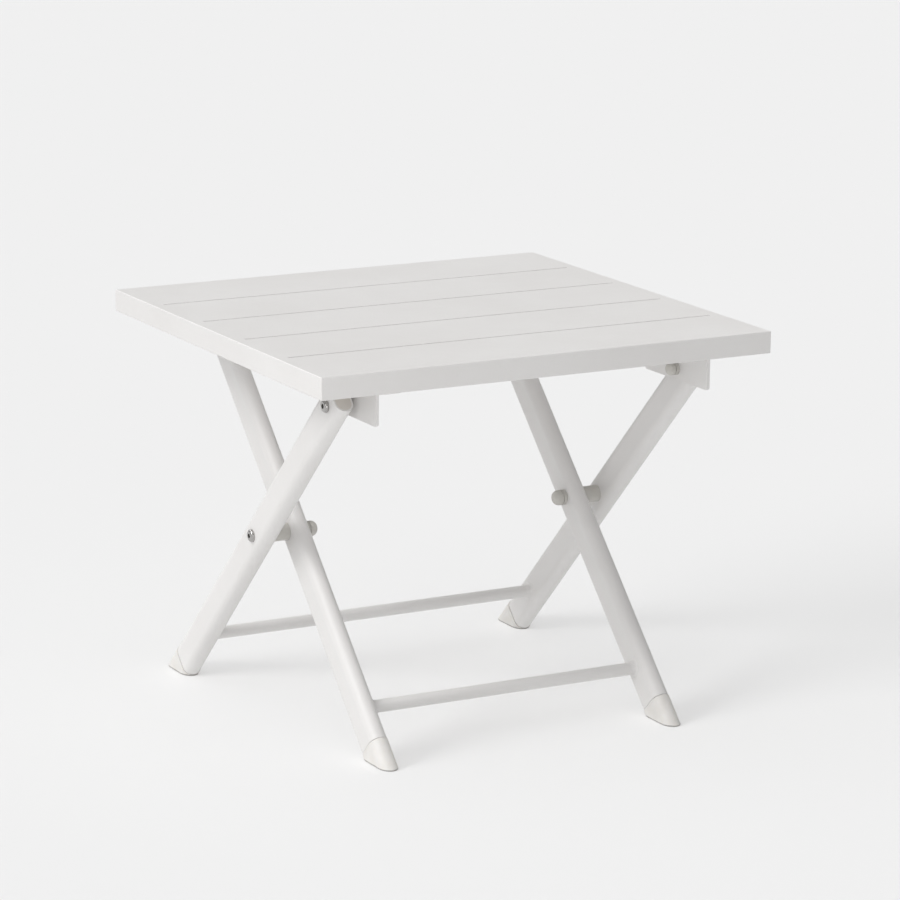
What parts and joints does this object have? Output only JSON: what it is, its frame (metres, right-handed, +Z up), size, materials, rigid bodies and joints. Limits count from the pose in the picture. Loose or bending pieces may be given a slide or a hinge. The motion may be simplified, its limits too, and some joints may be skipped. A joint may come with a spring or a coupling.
{
  "type": "folding side table",
  "caption": "Low folding side table: near-square slatted metal top on two crossed leg frames of flat-oval tube with plastic feet.",
  "frame": {"origin": "on the floor under the middle of the table top", "axes": "+X along the slats, to the right seen from the front; +Y from the front edge to the rear edge; +Z up"},
  "size_m": [0.5, 0.485, 0.405],
  "materials": {
    "white_coat": "satin white powder coat on aluminium",
    "ivory_plastic": "satin moulded off-white plastic",
    "white_nylon": "matte natural nylon",
    "grey_plug": "matte warm grey plastic",
    "bright_steel": "polished stainless steel",
    "zinc_steel": "zinc-plated steel"
  },
  "bodies": {
    "tabletop": {"slat_1": "white_coat", "slat_2": "white_coat", "slat_3": "white_coat", "slat_4": "white_coat", "slat_5": "white_coat", "side_rail_left": "white_coat", "side_rail_right": "white_coat", "bearer_left": "white_coat", "bearer_right": "white_coat", "hinge_bracket_left": "white_coat", "hinge_bracket_right": "white_coat", "top_bar_catch_left": "white_nylon", "top_bar_catch_right": "white_nylon", "top_pivot_bolt_left": "bright_steel", "top_pivot_bolt_right": "bright_steel", "top_pivot_washer_left": "white_nylon", "top_pivot_washer_right": "white_nylon", "top_pivot_nut_left": "ivory_plastic", "top_pivot_nut_right": "ivory_plastic", "bracket_screws": "zinc_steel", "catch_screws": "zinc_steel"},
    "outer_frame": {"outer_leg_left": "white_coat", "outer_leg_right": "white_coat", "outer_leg_plug_left": "grey_plug", "outer_leg_plug_right": "grey_plug", "rear_foot_left": "ivory_plastic", "rear_foot_right": "ivory_plastic", "top_pivot_bush_left": "white_nylon", "top_pivot_bush_right": "white_nylon", "mid_pivot_bolt_left": "bright_steel", "mid_pivot_bolt_right": "bright_steel", "mid_pivot_spacer_left": "ivory_plastic", "mid_pivot_spacer_right": "ivory_plastic", "mid_pivot_cap_left": "ivory_plastic", "mid_pivot_cap_right": "ivory_plastic", "rear_crossbar": "white_coat"},
    "inner_frame": {"inner_leg_left": "white_coat", "inner_leg_right": "white_coat", "inner_leg_plug_left": "grey_plug", "inner_leg_plug_right": "grey_plug", "front_foot_left": "ivory_plastic", "front_foot_right": "ivory_plastic", "mid_pivot_bush_left": "white_nylon", "mid_pivot_bush_right": "white_nylon", "front_crossbar": "white_coat", "top_bar": "white_coat"}
  },
  "joints": [
    {"name": "leg_fold", "type": "hinge", "parent": "tabletop", "child": "outer_frame", "pos_m": [0, -0.1725, 0.36], "axis": [1, 0, 0], "range_deg": [0, 40]},
    {"name": "scissor", "type": "hinge", "parent": "outer_frame", "child": "inner_frame", "pos_m": [0, -0.005, 0.1925], "axis": [1, 0, 0], "range_deg": [-80, 0]}
  ],
  "couplings": [
    {"joint": "scissor", "follows": "leg_fold", "ratio": -2}
  ]
}
